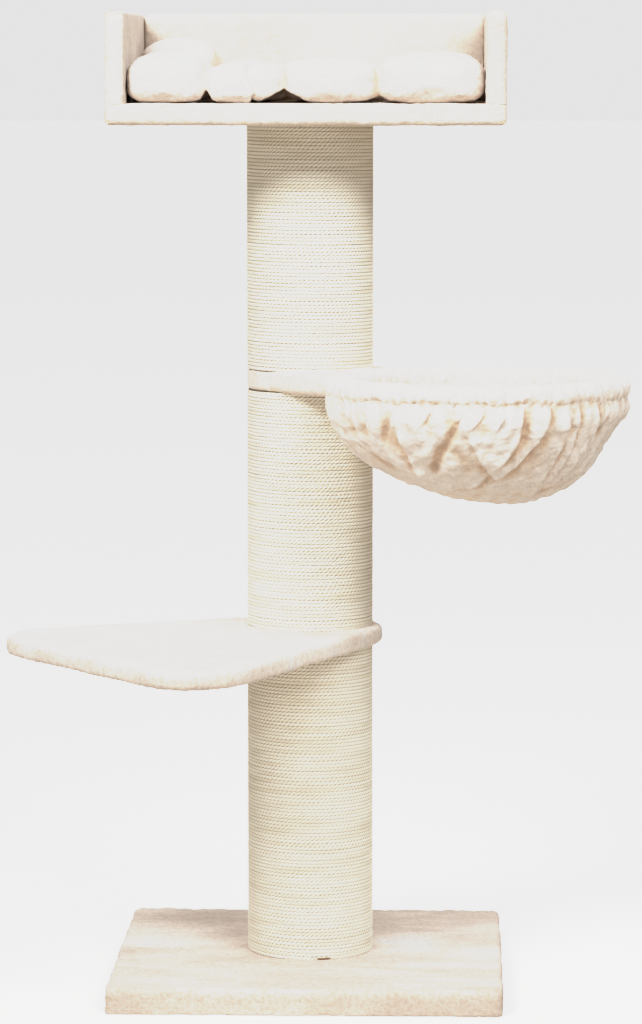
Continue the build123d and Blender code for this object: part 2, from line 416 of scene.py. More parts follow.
def sisal_material():
    """Three-strand natural fibre: pale crests, valleys between the strands darkened brown as painted shade,
    and fine fibres along them.
    The strand map holds the number of twists so far and the place across the rope, from -1 to 1."""
    material, shader, tree, place = new_material("sisal")
    depth = add(tree, "Attribute", attribute_name="depth").outputs["Fac"]
    tone = add(tree, "Attribute", attribute_name="tone").outputs["Fac"]
    strands = add(tree, "UVMap", uv_map="strands").outputs["UV"]
    twist = add(tree, "SeparateXYZ")
    tree.links.new(strands, twist.inputs["Vector"])
    phase = calculate(tree, "MULTIPLY", twist.outputs["X"], 1.5 * TURN)
    crest = calculate(tree, "ABSOLUTE", calculate(tree, "COSINE", phase))
    fibres = noise(tree, stretched(tree, strands, (75, 1.3, 1)), 1, 3, 0.65)
    # Painted shade: hollow darkens the colour where the rope is thin, in the grooves between turns and
    # between strands, and body darkens it between the strands' crests.
    hollow = ramp(tree, depth, [(0.24, (0.15, 0.10, 0.06)), (0.54, (0.42, 0.33, 0.22)), (0.84, (1, 1, 1))])
    body = ramp(tree, crest, [(0.06, (0.62, 0.52, 0.37)), (0.30, (0.94, 0.875, 0.73)),
                              (0.60, (1.0, 0.965, 0.85))])
    tint = ramp(tree, tone, [(0.10, (0.86, 0.83, 0.77)), (0.60, (1, 1, 1))])
    streak = ramp(tree, fibres, [(0.32, (0.76, 0.71, 0.62)), (0.56, (1, 1, 1))])
    specks = noise(tree, place, 330, 1, 0.5)
    speck = ramp(tree, specks, [(0.22, (0.55, 0.45, 0.30)), (0.27, (1, 1, 1))])
    colour = blend_colours(tree, "MULTIPLY", 0.9, body, hollow)
    colour = blend_colours(tree, "MULTIPLY", 0.8, colour, tint)
    colour = blend_colours(tree, "MULTIPLY", 0.6, colour, streak)
    colour = blend_colours(tree, "MULTIPLY", 0.7, colour, speck)
    tree.links.new(colour, shader.inputs["Base Color"])
    shader.inputs["Roughness"].default_value = 0.78
    shader.inputs["Specular IOR Level"].default_value = 0.25
    shader.inputs["Sheen Weight"].default_value = 0.1
    bump(tree, shader, [(crest, 0.0008), (fibres, 0.0005)])
    return material


def wood_material():
    """Raw chipboard: short flakes of several browns."""
    material, shader, tree, place = new_material("chipboard")
    flakes = add(tree, "TexVoronoi", Scale=170.0)
    tree.links.new(stretched(tree, place, (1, 0.5, 1)), flakes.inputs["Vector"])
    grain = noise(tree, place, 90, 4, 0.6)
    base = ramp(tree, flakes.outputs["Distance"], [(0.0, (0.50, 0.35, 0.19)), (0.5, (0.68, 0.52, 0.32)),
                                                   (1, (0.80, 0.66, 0.45))])
    shade = ramp(tree, grain, [(0.3, (0.75, 0.72, 0.68)), (0.7, (1, 1, 1))])
    tree.links.new(blend_colours(tree, "MULTIPLY", 0.7, base, shade), shader.inputs["Base Color"])
    shader.inputs["Roughness"].default_value = 0.8
    bump(tree, shader, [(flakes.outputs["Distance"], 0.0004)])
    return material


def cardboard_material():
    """A spirally wound tube: brown fibre with the edge of each paper ply showing as a line round the tube."""
    material, shader, tree, place = new_material("cardboard")
    plies = add(tree, "TexWave", Scale=3.2, Distortion=0.2, Detail=1.0)
    plies.bands_direction = "Z"
    tree.links.new(place, plies.inputs["Vector"])
    fibre = noise(tree, stretched(tree, place, (1, 1, 0.3)), 240, 3, 0.6)
    base = ramp(tree, plies.outputs["Fac"], [(0.0, (0.33, 0.23, 0.14)), (0.06, (0.47, 0.34, 0.21)),
                                              (1, (0.50, 0.37, 0.23))])
    shade = ramp(tree, fibre, [(0.3, (0.82, 0.80, 0.77)), (0.7, (1, 1, 1))])
    tree.links.new(blend_colours(tree, "MULTIPLY", 0.7, base, shade), shader.inputs["Base Color"])
    shader.inputs["Roughness"].default_value = 0.85
    bump(tree, shader, [(fibre, 0.0003)])
    return material


def steel_material():
    """Bright zinc plate, lightly clouded and scuffed."""
    material, shader, tree, place = new_material("zinc_steel")
    clouds = noise(tree, place, 320, 3, 0.6)
    tone = ramp(tree, clouds, [(0.3, (0.56, 0.57, 0.58)), (0.7, (0.74, 0.75, 0.76))])
    tree.links.new(tone, shader.inputs["Base Color"])
    shader.inputs["Metallic"].default_value = 1
    rough = ramp(tree, clouds, greys((0.3, 0.42), (0.7, 0.28)))
    tree.links.new(rough, shader.inputs["Roughness"])
    bump(tree, shader, [(clouds, 0.0001)])
    return material


def felt_material():
    """Dark needled felt: a mat of short fibres."""
    material, shader, tree, place = new_material("felt")
    mat = noise(tree, place, 420, 4, 0.7)
    tone = ramp(tree, mat, [(0.3, (0.012, 0.012, 0.013)), (0.7, (0.06, 0.06, 0.065))])
    tree.links.new(tone, shader.inputs["Base Color"])
    shader.inputs["Roughness"].default_value = 0.95
    shader.inputs["Sheen Weight"].default_value = 0.3
    bump(tree, shader, [(mat, 0.0008)])
    return material


def fibre_material(name, light, dark, scale):
    """Loose white fibre or braid."""
    material, shader, tree, place = new_material(name)
    strands = noise(tree, place, scale, 4, 0.7)
    tree.links.new(ramp(tree, strands, [(0.3, dark), (0.7, light)]), shader.inputs["Base Color"])
    shader.inputs["Roughness"].default_value = 0.9
    bump(tree, shader, [(strands, 0.0006)])
    return material


# ---------------------------------------------------------------- sisal

def wind_post(name, low, high, radius, bands, material, seed):
    """Winds one post with a single rope laid turn on turn, split into bands of turns, one piece each."""
    rope = 0.006
    pitch = 0.0055
    lay = 0.0215
    samples = 440
    profile = np.linspace(-1, 1, 7)
    turns = round((high - low) / pitch)
    pitch = (high - low) / turns
    count = np.arange(turns + 3)
    chance = np.random.default_rng(seed)
    level_jitter = chance.normal(0, 0.00008, turns + 3)
    radial_jitter = chance.normal(0, 0.00012, turns + 3)
    tone_jitter = chance.uniform(0, 1, turns + 3)
    phase_jitter = chance.uniform(0, TURN, turns + 3)
    start = math.radians(-85)
    edges = np.round(np.linspace(0, (turns + 1) * samples, bands + 1)).astype(int)
    circumference = TURN * (radius - rope / 2)
    for band, (first, last) in enumerate(zip(edges[:-1], edges[1:])):
        travelled = np.arange(first, last + 1) / samples
        angle = start - TURN * travelled
        level = np.clip(low + pitch * (travelled - 0.5), low + pitch / 2, high - pitch / 2)
        level = level + np.interp(travelled, count, level_jitter)
        tucked = np.where((travelled < 1) | (travelled > turns), 0.0006, 0)
        centre = radius - rope / 2 - tucked + np.interp(travelled, count, radial_jitter)
        along = travelled * circumference
        wander = np.interp(travelled, count, phase_jitter) + 0.25 * np.sin(along / 0.071 + 2 * seed)
        across, distance = np.meshgrid(profile, along, indexing="ij")
        twist = across * 1.35 / TURN + distance / lay + wander[None, :] / TURN
        crest = np.abs(np.cos(1.5 * TURN * twist)) ** 0.7
        pressed = 1 - (0.62 + 0.26 * (1 - crest)) * np.abs(across) ** 2.6
        thickness = rope / 2 * (0.74 + 0.26 * crest) * pressed
        out = centre[None, :] + thickness
        height = level[None, :] + pitch / 2 * 1.03 * np.sin(across * math.pi / 2)
        points = np.stack([out * np.cos(angle)[None, :], out * np.sin(angle)[None, :], height], -1)
        faces = grid(len(profile), len(along), closed=False)[:, ::-1]
        made = piece(f"{name}_rope_{band + 1}", points.reshape(-1, 3), faces, material, "stand",
                     [f"{name}_sisal"])
        tone = np.interp(travelled, count, tone_jitter)
        streaks = 0.5 + 0.5 * np.sin(distance / 0.033 + across + 3 * wander[None, :])
        tone = 0.4 * tone[None, :] + 0.6 * streaks
        # depth drives the painted shade in the rope's grooves.
        store(made.data, "depth", thickness / (rope / 2))
        store(made.data, "tone", tone)
        layer = made.data.uv_layers.new(name="strands")
        corners = np.empty(len(made.data.loops), np.int32)
        made.data.loops.foreach_get("vertex_index", corners)
        pairs = np.stack([twist.ravel(), across.ravel()], 1)[corners]
        layer.data.foreach_set("uv", pairs.astype(np.float32).ravel())


def rope_end(material):
    """The dark end of the rope, tucked round the post's foot."""
    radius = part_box("lower_post_sisal")[1].x
    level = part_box("lower_post_sisal")[0].z
    turn = np.radians(np.linspace(-82, -69, 16))
    around = np.linspace(0, TURN, 9)
    taper = np.sqrt(np.clip(1 - np.linspace(-1, 1, 16) ** 6, 0.02, 1))
    rows = []
    for place in around:
        out = radius + 0.0005 + 0.0017 * taper * np.cos(place)
        height = level + 0.0024 + 0.0017 * taper * np.sin(place)
        rows.append(np.stack([out * np.cos(turn), out * np.sin(turn), height], 1))
    piece("lower_post_rope_end", np.vstack(rows), grid(len(rows), len(turn), closed=False), material, "stand",
          ["lower_post_sisal"])


def store(mesh, name, values):
    attribute = mesh.attributes.new(name, "FLOAT", "POINT")
    attribute.data.foreach_set("value", values.astype(np.float32).ravel())


# ---------------------------------------------------------------- plush covers

def cover(name, outline, low, high, roundings, material, body, replaced, seed, step=0.0045):
    rows = slab_rows(outline, low, high, *roundings, step)
    points = np.vstack(rows)
    faces = grid(len(rows), len(outline))
    made = piece(name, points, faces, material, body, replaced)
    nap(made, 0.0006, 0.00045, seed)
    return made


def rounded_rectangle(low, high, radius, step):
    circles = [(x, y, radius) for x in (low[0] + radius, high[0] - radius)
               for y in (low[1] + radius, high[1] - radius)]
    return belt(circles, step)


def base_skin(material):
    """The base's plush, kept above the floor, with painted shade on its sides and a few paler and darker
    patches.
    """
    low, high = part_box("base_cover")
    outline = rounded_rectangle(low, high, 0.014, 0.0045)
    made = cover("base_plush", outline, low[2], high[2], (0.003, 0.010), material, "stand",
                 ["base_cover"], 11)
    points = mesh_points(made.data)
    points[:, 2] = np.maximum(points[:, 2], 0.0003)
    move_points(made.data, points)
    # Painted shade: the sides are darker than the top.
    side = np.clip((high[2] - 0.004 - points[:, 2]) / 0.008, 0, 1)
    painted_shading_and_patches = -0.02 - 0.08 * side
    for x, y, half_x, half_y, shift in (
        (0.156, 0.040, 0.050, 0.070, 0.34),
        (-0.250, 0.040, 0.070, 0.050, 0.20),
        (-0.160, 0.170, 0.090, 0.050, -0.04),
    ):
        painted_shading_and_patches = painted_shading_and_patches + shift * np.exp(-((points[:, 0] - x) / half_x) ** 4 - ((points[:, 1] - y) / half_y) ** 4)
    store(made.data, "painted_shading_and_patches", painted_shading_and_patches)


def platform_skin(material):
    """The platform's plush, with painted shade on its front edge and painted light on its right edge and top.
    """
    low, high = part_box("platform_cover")
    outline = rim_of(mesh_points(nodes["platform_cover"].data), 0.0045)
    made = cover("platform_plush", outline, low[2], high[2], (0.010, 0.011), material, "platform",
                 ["platform_cover"], 21)
    points = mesh_points(made.data)
    side = np.clip((high[2] - 0.005 - points[:, 2]) / 0.010, 0, 1)
    front = np.exp(-((points[:, 0] + 0.17) / 0.10) ** 4)
    right = np.clip((points[:, 0] + 0.06) / 0.06, 0, 1)
    # Painted shade on the front edge; painted light on the right edge and on the top.
    store(made.data, "painted_shading_and_patches", side * (0.16 * right - 0.20 * front) + 0.08 * (1 - side))


def box_skins(material):
    """The box's four boards: a floor, two side walls that stand on it and a back wall between them."""
    for number, part in enumerate(("floor", "left_wall", "right_wall", "back_wall")):
        low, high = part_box(f"box_{part}_cover")
        outline = rounded_rectangle(low, high, 0.0095, 0.0042)
        roundings = (0.0095, 0.0024) if part == "floor" else (0.0008, 0.0105)
        sunk = 0 if part == "floor" else 0.0012
        made = cover(f"box_{part}_plush", outline, low[2] - sunk, high[2], roundings, material, "top_box",
                     [f"box_{part}_cover"], 31 + 10 * number, 0.0042)
        # Painted shade in the box's inner corners and on the inside of its left wall.
        store(made.data, "painted_shading_and_patches", box_painted_shade(mesh_points(made.data), part, low, high))


def box_painted_shade(points, part, low, high):
    """Where painted shade darkens the box's plush: the inner corners of its back wall and the inside of its
    left wall, which the lights alone leave too pale."""
    x, y, z = points.T
    if part == "back_wall":
        reach = 0.09
        inner = y < (low.y + high.y) / 2
        corner = np.clip(1.2 * (np.exp(-(x - low.x) / reach) + np.exp(-(high.x - x) / reach)), 0, 1)
        below_rim = np.clip((high.z - 0.008 - z) / 0.04, 0, 1)
        return np.where(inner, -0.50 * corner * below_rim, 0)
    if part == "left_wall":
        return np.where(x > high.x - 0.003, -0.40, 0)
    return np.zeros(len(points))


def ring_place():
    """The hammock ring's centre, from its elastic, and the radius of that elastic."""
    low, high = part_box("hammock_elastic")
    return (low.x + high.x) / 2, (low.y + high.y) / 2, (high.x - low.x) / 2


def arm_skin(material):
    """The plush over the hammock's arm, from round the post to just inside the hem."""
    low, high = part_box("hammock_arm_cover")
    x, y, radius = ring_place()
    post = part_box("middle_post_sisal")[1].x
    reach = radius - 0.010
    outline = belt([(0, 0, post), (x, y, 0.123)], 0.004)
    apart = np.linalg.norm(outline - (x, y), axis=1)
    kept = spaced_line(np.roll(outline, -int(np.argmin(apart)), 0), (x, y), reach)
    cover("hammock_arm_plush", kept, low[2], high[2], (0.010, 0.005), material, "hammock",
          ["hammock_arm_cover"], 71, 0.004)


def spaced_line(outline, centre, reach):
    """The part of an outline that lies further than reach from centre, closed by an arc at reach."""
    away = outline - centre
    outside = outline[np.linalg.norm(away, axis=1) > reach]
    first, last = outside[0] - centre, outside[-1] - centre
    start, end = math.atan2(last[1], last[0]), math.atan2(first[1], first[0])
    if end > start:
        end -= TURN
    turn = np.linspace(start, end, 60)[1:-1]
    arc = np.array(centre) + reach * np.stack([np.cos(turn), np.sin(turn)], 1)
    return spaced(np.vstack([outside, arc]), 0.004)


# ---------------------------------------------------------------- hammock

GATHER = 0.0165     # how far above the elastic's middle the gathered line lies


def elastic(material):
    """The round elastic that runs inside the hem, under the ring."""
    x, y, radius = ring_place()
    low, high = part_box("hammock_elastic")
    turn = np.linspace(0, TURN, 240, endpoint=False)
    around = np.linspace(0, TURN, 10, endpoint=False)
    thick = (high.z - low.z) / 2
    rows = []
    for place in np.append(around, 0):
        r = radius - 0.0065 + thick * np.cos(place)
        z = (low.z + high.z) / 2 + thick * np.sin(place)
        rows.append(np.stack([x + r * np.cos(turn), y + r * np.sin(turn), 0 * turn + z], 1))
    piece("hammock_elastic_cord", np.vstack(rows), grid(len(rows), len(turn)), material, "hammock",
          ["hammock_elastic"])


def hem(material):
    """The hem that wraps the ring: a full soft band, drawn in along the elastic below it."""
    x, y, radius = ring_place()
    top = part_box("hammock_bag")[1].z + 0.002
    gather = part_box("hammock_elastic")[0].z + 0.002 + GATHER
    columns = 1200
    angle = np.linspace(0, TURN, columns, endpoint=False)
    fine = angle * 92 + 1.9 * np.sin(5 * angle + 1) + 1.3 * np.sin(13 * angle + 2) + 0.9 * np.sin(29 * angle)
    puffs = angle * 26 + 1.6 * np.sin(4 * angle) + 1.2 * np.sin(9 * angle + 1)
    inner = radius - 0.0415
    section = (
        (radius + 0.0012, gather), (radius + 0.0042, gather + 0.005), (radius + 0.0046, gather + 0.012),
        (radius + 0.001, gather + 0.020), (radius - 0.008, top - 0.0015), (radius - 0.020, top),
        (radius - 0.032, top - 0.003), (inner, top - 0.011), (inner - 0.001, gather),
        (inner + 0.001, gather - 0.012), (inner + 0.010, gather - 0.0165), (radius - 0.010, gather - 0.0165),
        (radius - 0.003, gather - 0.010),
    )
    loop = smooth_loop(np.array(section), 46)
    outside = np.clip((loop[:, 0] - radius + 0.006) / 0.008, 0, 1)
    near = np.exp(-((loop[:, 1] - gather) / 0.0075) ** 2) * outside
    rows = []
    for (r, z), drawn in zip(loop, near):
        swell = 0.0015 * drawn * np.sin(fine) + 0.0015 * (1 - drawn) * np.sin(puffs)
        swell += 0.0009 * np.sin(2.7 * puffs + 40 * z)
        swell = np.where(r < radius - 0.035, 0.4 * swell, swell)
        bob = 0.0022 * drawn * np.sin(puffs * 0.62 + 1)
        around = r + swell
        height = z + bob + 0.4 * swell
        rows.append(np.stack([x + around * np.cos(angle), y + around * np.sin(angle), height], 1))
    rows.append(rows[0])
    made = piece("hammock_hem", np.vstack(rows), grid(len(rows), columns), material, "hammock",
                 ["hammock_bag"])
    # Painted shade: the fold attribute darkens the colour in the small gathers along the elastic.
    drawn = np.append(near, near[0])[:, None] * (0.55 - 0.45 * np.sin(fine))
    store(made.data, "fold", 0.6 - 0.5 * drawn)
    nap(made, 0.0006, 0.0008, 81)
    return made


def smooth_loop(corners, count):
    """A closed smooth curve (Catmull-Rom) through the corners, evenly spaced."""
    points = []
    total = len(corners)
    for k in range(total):
        a, b, c, d = (corners[(k + j) % total] for j in (-1, 0, 1, 2))
        t = np.linspace(0, 1, 12, endpoint=False)[:, None]
        points.append(0.5 * (2 * b + (c - a) * t + (2 * a - 5 * b + 4 * c - d) * t**2
                             + (3 * b - a - 3 * c + d) * t**3))
    points = np.vstack(points)
    closed = np.vstack([points, points[:1]])
    run = np.concatenate([[0], np.cumsum(np.linalg.norm(np.diff(closed, axis=0), axis=1))])
    places = np.linspace(0, run[-1], count, endpoint=False)
    return np.stack([np.interp(places, run, closed[:, k]) for k in range(2)], 1)


def bowl(angle, drop):
    """The bag's smooth form: angle in degrees round the ring, drop from 0 at the hem to 1 at its lowest
    point, which lies a little to the front and right of the middle. The right side is drawn in."""
    x, y, radius = ring_place()
    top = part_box("hammock_elastic")[0].z + 0.002 + GATHER
    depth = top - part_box("hammock_bag")[0].z - 0.007
    a = np.radians(angle)
    slope = drop * math.pi / 2
    near = np.exp(-drop / 0.18) * np.clip((drop - 0.05) / 0.08, 0, 1)
    right = np.clip(np.cos(a), 0, 1) ** 1.5
    share = np.cos(slope) ** (1.2 + right * (5.8 * near - 0.25))
    fall = np.sin(slope) ** 0.95
    bulge = radius + 0.0045 * np.sin(np.minimum(drop * 9, 1) * math.pi / 2)
    sideways = 1 - share
    return np.stack([
        x + share * bulge * np.cos(a) + sideways * 0.035,
        y + share * bulge * np.sin(a) - sideways * 0.030,
        top - depth * fall,
    ], -1)


# The folds that show: where each runs, as (angle, drop) pairs, how far it stands out, how wide it is, and
# whether it is a lap, with one sharp edge, or a hollow. Angles are in degrees, and -90 faces the front.
# A lap stands out on the right hand of somebody who walks along it on the outside of the bag.
FOLDS = (
    (((-88, 0.46), (-92, 0.51), (-100, 0.55), (-113, 0.57), (-122, 0.54), (-124, 0.44), (-122, 0.30),
      (-122, 0.14), (-122, 0.02)), 0.0110, 0.030, "lap"),
    (((-95, 0.04), (-99, 0.14), (-104, 0.24), (-111, 0.35), (-117, 0.45)), 0.0130, 0.012, "hollow"),
    (((-84, 0.49), (-87, 0.43), (-90, 0.35), (-92, 0.26), (-95, 0.14)), 0.0060, 0.022, "lap"),
    (((-72, 0.00), (-73, 0.08), (-74, 0.20), (-79, 0.32), (-86, 0.42)), 0.0110, 0.026, "lap"),
    (((-61, 0.00), (-63, 0.10), (-67, 0.24), (-75, 0.38), (-85, 0.49)), 0.0105, 0.026, "lap"),
    (((-55, 0.02), (-54, 0.14), (-55, 0.30), (-57, 0.48), (-56, 0.68)), 0.0085, 0.022, "lap"),
    (((-48, 0.02), (-48, 0.16), (-49, 0.34), (-52, 0.54), (-54, 0.72)), 0.0085, 0.020, "lap"),
    (((-39, 0.02), (-38, 0.14), (-41, 0.28), (-44, 0.44), (-46, 0.68)), 0.0090, 0.020, "lap"),
    (((-30, 0.00), (-33, 0.10), (-35, 0.24), (-39, 0.48)), 0.0080, 0.018, "lap"),
    (((-21, 0.02), (-23, 0.16), (-28, 0.36), (-34, 0.60)), 0.0080, 0.020, "lap"),
    (((-10, 0.02), (-12, 0.20), (-18, 0.42), (-26, 0.66)), 0.0080, 0.022, "lap"),
    (((-123, 0.03), (-127, 0.12), (-132, 0.24)), 0.0090, 0.012, "hollow"),
    (((-154, 0.26), (-147, 0.36), (-137, 0.44)), 0.0060, 0.022, "hollow"),
    (((-81, 0.00), (-80, 0.06), (-83, 0.14)), 0.0060, 0.010, "lap"),
    (((-87, 0.00), (-88, 0.06), (-92, 0.13)), 0.0050, 0.009, "lap"),
    (((-106, 0.00), (-109, 0.07), (-113, 0.15)), 0.0045, 0.010, "lap"),
    (((-136, 0.00), (-137, 0.08), (-139, 0.18)), 0.0045, 0.010, "hollow"),
    (((-146, 0.00), (-147, 0.10), (-150, 0.22)), 0.0050, 0.012, "hollow"),
    (((-158, 0.00), (-158, 0.14), (-157, 0.32)), 0.0055, 0.012, "hollow"),
    (((-169, 0.00), (-168, 0.16), (-164, 0.38)), 0.0060, 0.014, "hollow"),
)


def hidden_folds(seed):
    """More folds for the sides that face away: down from the hem, bending towards the lowest point."""
    chance = np.random.default_rng(seed)
    folds = []
    for angle in np.arange(2, 182, 14):
        start = angle + chance.uniform(-4, 4)
        bend = chance.uniform(-9, 9)
        length = chance.uniform(0.55, 0.85)
        line = tuple((start + bend * t**1.5, 0.03 + t * length) for t in (0, 0.3, 0.6, 1))
        folds.append((line, chance.uniform(0.005, 0.008), chance.uniform(0.020, 0.034), "lap"))
    return tuple(folds)


def fold_rise(points, normals, folds):
    """How far each point is pushed out or in by the folds that run near it."""
    rise = np.zeros(len(points))
    for line, height, width, kind in folds:
        line = np.array(line)
        t = np.linspace(0, len(line) - 1, 200)
        run = np.stack([np.interp(t, np.arange(len(line)), line[:, k]) for k in range(2)], 1)
        for _ in range(60):
            run[1:-1] = (run[:-2] + 2 * run[1:-1] + run[2:]) / 4
        crease = bowl(run[:, 0], run[:, 1])
        tangent = np.gradient(crease, axis=0)
        tangent /= np.linalg.norm(tangent, axis=1)[:, None]
        close = np.linalg.norm(points - crease.mean(0), axis=1) < 0.30
        chosen = points[close]
        gaps = ((chosen[:, None, :] - crease[None, :, :]) ** 2).sum(-1)
        nearest = gaps.argmin(1)
        away = chosen - crease[nearest]
        aside = (away * np.cross(tangent[nearest], normals[close])).sum(1)
        beyond = np.abs((away * tangent[nearest]).sum(1))
        place = nearest / (len(crease) - 1)
        here = width * (0.20 + 0.80 * place**0.7) if kind == "hollow" else width
        distance = np.sqrt(gaps.min(1)) * np.sign(aside) / here
        strength = np.clip(place * 5 + 0.15, 0, 1) * np.clip((1 - place) * 5 + 0.15, 0, 1)
        strength *= np.exp(-(beyond / 0.02) ** 2)
        if kind == "lap":
            over = (1 - np.exp(-np.maximum(distance, 0) / 0.06)) * np.exp(-np.maximum(distance, 0) / 0.75)
            under = -0.35 * np.exp(-(distance / 0.45) ** 2) * (distance <= 0)
            shape = np.where(distance > 0, over - 0.35 * np.exp(-distance / 0.06), under)
        else:
            shape = -np.exp(-(distance / 0.8) ** 2) * (0.4 + 0.6 * place)
        rise[close] += height * strength * shape
    return rise


def levelled(rise):
    """The average of the points round each one, over some 25 mm."""
    level = rise
    for _ in range(60):
        level = (level + np.roll(level, 3, 1) + np.roll(level, -3, 1)) / 3
        padded = np.vstack([level[:2], level, level[-2:]])
        level = (padded[:-4] + padded[2:-2] + padded[4:]) / 3
    return level


def close_poles(mesh, columns):
    """Closes the small holes that the first and the last row leave at the lowest point."""
    work = bmesh.new()
    work.from_mesh(mesh)
    work.verts.ensure_lookup_table()
    for row in (list(work.verts[:columns])[::-1], list(work.verts[-columns:])):
        middle = sum((v.co for v in row), Vector()) / len(row)
        pole = work.verts.new(middle)
        for first, second in zip(row, row[1:] + row[:1]):
            work.faces.new((second, first, pole)).smooth = True
    work.to_mesh(mesh)
    work.free()


def pouch(material):
    """The bag below the elastic: a soft bowl of plush, gathered small at the hem and hanging in laps.
    It is shaped here, not simulated, with an outer and an inner side about 4 mm apart."""
    columns, rings = 720, 120
    angle = np.linspace(0, 360, columns, endpoint=False)
    drops = np.linspace(0, 0.965, rings)
    bare = np.vstack([bowl(angle, np.full(columns, drop)) for drop in drops])
    bare_mesh = mesh_of("bag_form", bare, grid(rings, columns)[:, ::-1], material)
    normals = vertex_normals(bare_mesh)
    turn = np.radians(np.tile(angle, rings))
    drop = np.repeat(drops, columns)
    fine = turn * 84 + 1.7 * np.sin(5 * turn + 2) + 1.2 * np.sin(11 * turn) + 0.9 * np.sin(23 * turn + 1)
    middle = turn * 31 + 1.5 * np.sin(3 * turn) + 1.1 * np.sin(7 * turn + 1)
    rise = 0.0016 * np.sin(fine) * np.exp(-drop / 0.06)
    rise += 0.0028 * np.sin(middle) * np.exp(-((drop - 0.10) / 0.14) ** 2) * np.clip(drop / 0.05, 0, 1)
    rise += fold_rise(bare, normals, FOLDS + hidden_folds(5)) * np.clip(drop / 0.05, 0, 1)
    loose = np.clip(drop / 0.12, 0, 1)
    rise += (0.0024 * ripple(bare * (1, 1, 0.45), 0.045, 91) + 0.0013 * ripple(bare, 0.014, 92)) * loose
    rise *= np.clip((0.96 - drop) / 0.12, 0, 1)
    level = levelled(rise.reshape(rings, columns)).ravel()
    rise = np.maximum(rise, -0.0020 - 0.065 * np.clip(drop - 0.07, 0, 1))
    # Painted shade: fold is low where the cloth lies lower than the cloth around it, and there the material
    # darkens the colour. The inner side is given none.
    fold = 0.5 + (rise - level) / 0.008
    inner = np.minimum(rise, level) - 0.0042

    outside = (bare + normals * rise[:, None]).reshape(rings, columns, 3)
    inside = (bare + normals * inner[:, None]).reshape(rings, columns, 3)
    points = np.vstack([inside[::-1].reshape(-1, 3), outside.reshape(-1, 3)])
    faces = grid(2 * rings, columns)[:, ::-1]
    made = piece("hammock_pouch", points, faces, material, "hammock", ["hammock_bag"])
    store(made.data, "fold", np.concatenate([np.full(rings * columns, 0.6), fold]))
    close_poles(made.data, columns)
    nap(made, 0.0005, 0.0005, 95)
    return made


# ---------------------------------------------------------------- cushion

def lobe(low, high):
    """One puffed cell of a quilt: domed above, and almost square where it lies on the floor."""
    steps = np.linspace(-1, 1, 15)
    sides = []
    for axis in range(3):
        for sign in (-1, 1):
            u, v = np.meshgrid(steps, steps, indexing="ij")
            side = np.empty((u.size, 3))
            side[:, axis] = sign
            side[:, (axis + 1) % 3] = u.ravel() * sign
            side[:, (axis + 2) % 3] = v.ravel()
            sides.append(side)
    corner = np.vstack(sides)
    flat = (np.abs(corner[:, :2]) ** 3.6).sum(1) ** (1 / 3.6)
    power = np.where(corner[:, 2] < 0, 5.0, 2.5)
    distance = (flat**power + np.abs(corner[:, 2]) ** power) ** (1 / power)
    points = corner / distance[:, None]
    faces = np.vstack([grid(15, 15, closed=False) + k * 225 for k in range(6)])
    middle = (np.array(low) + high) / 2
    return middle + points * (np.array(high) - low) / 2, faces


def remesh(made, size):
    modifier = made.modifiers.new("remesh", "REMESH")
    modifier.mode = "VOXEL"
    modifier.voxel_size = size
    settle(made)


def settle(made):
    """Makes what an object's modifiers give its own mesh, and takes them off."""
    materials = list(made.data.materials)
    graph = bpy.context.evaluated_depsgraph_get()
    mesh = bpy.data.meshes.new_from_object(made.evaluated_get(graph))
    made.modifiers.clear()
    made.data = mesh
    mesh.materials.clear()
    for material in materials:
        mesh.materials.append(material)
    mesh.shade_smooth()


def inflate(made, pressure, frames, limit, held=None):
    """Cloth simulation: the skin swells like a filled cover. No point moves further than limit."""
    start = mesh_points(made.data)
    modifier = made.modifiers.new("cloth", "CLOTH")
    settings = modifier.settings
    settings.quality = 6
    settings.mass = 0.3
    settings.tension_stiffness = 12
    settings.compression_stiffness = 4
    settings.shear_stiffness = 4
    settings.bending_stiffness = 0.4
    settings.use_pressure = True
    settings.uniform_pressure_force = pressure
    settings.effector_weights.gravity = 0
    if held is not None:
        group = made.vertex_groups.new(name="held")
        for weight in np.unique(held):
            if weight > 0:
                group.add(np.nonzero(held == weight)[0].tolist(), float(weight), "REPLACE")
        settings.vertex_group_mass = "held"
    modifier.collision_settings.use_collision = False
    scene = bpy.context.scene
    scene.frame_end = frames
    modifier.point_cache.frame_end = frames
    for moment in range(1, frames + 1):
        scene.frame_set(moment)
    settle(made)
    scene.frame_set(1)
    end = mesh_points(made.data)
    move = end - start
    length = np.linalg.norm(move, axis=1)
    scale = np.minimum(1, limit / np.maximum(length, 1e-9))
    move_points(made.data, start + move * scale[:, None])


